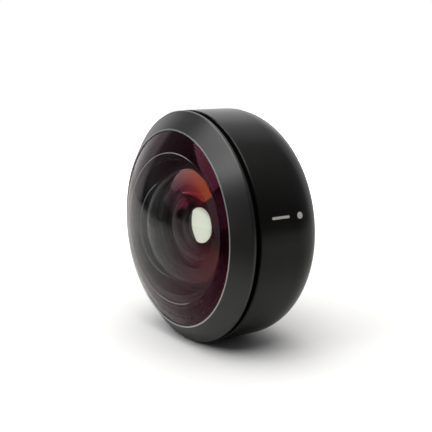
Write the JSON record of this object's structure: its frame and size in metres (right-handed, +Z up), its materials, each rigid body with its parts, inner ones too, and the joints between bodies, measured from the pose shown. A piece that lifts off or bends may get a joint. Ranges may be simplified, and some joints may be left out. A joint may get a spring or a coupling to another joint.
{
  "type": "phone fisheye lens",
  "caption": "Round wide-angle converter lens for a phone, with a conical front ring, a bulging front glass, a short barrel with a rounded rear and a bayonet mount.",
  "frame": {"origin": "centre of the rear mounting seat, on the optical axis", "axes": "the lens looks along -Y, +Y leaves through the rear mount, +Z is up with the lens standing on its rim, and the bayonet lugs lie on X"},
  "size_m": [0.04, 0.0259, 0.04],
  "materials": {
    "bezel_anodised": "satin black anodised",
    "barrel_anodised": "satin black anodised, slightly warm",
    "cell_blackened": "matt black anodised",
    "mount_anodised": "black anodised, worn bright at the lugs",
    "front_glass": "polished and coated",
    "inner_glass": "polished and coated",
    "stop_blackened": "matt black",
    "seal_rubber": "matt",
    "screw_steel": "blackened"
  },
  "bodies": {
    "root": {"front_bezel_ring": "bezel_anodised", "front_seal_ring": "seal_rubber", "front_dome_element": "front_glass", "dome_spacer_ring": "cell_blackened", "barrel_shell": "barrel_anodised", "inner_lens_cell": "cell_blackened", "dust_seal_ring": "seal_rubber", "second_element": "inner_glass", "second_element_retainer": "cell_blackened", "aperture_stop_ring": "stop_blackened", "doublet_front_element": "inner_glass", "doublet_rear_element": "inner_glass", "doublet_spacer_ring": "cell_blackened", "rear_element": "inner_glass", "rear_retainer": "cell_blackened", "bayonet_mount": "mount_anodised", "mount_screws": "screw_steel"}
  },
  "joints": []
}
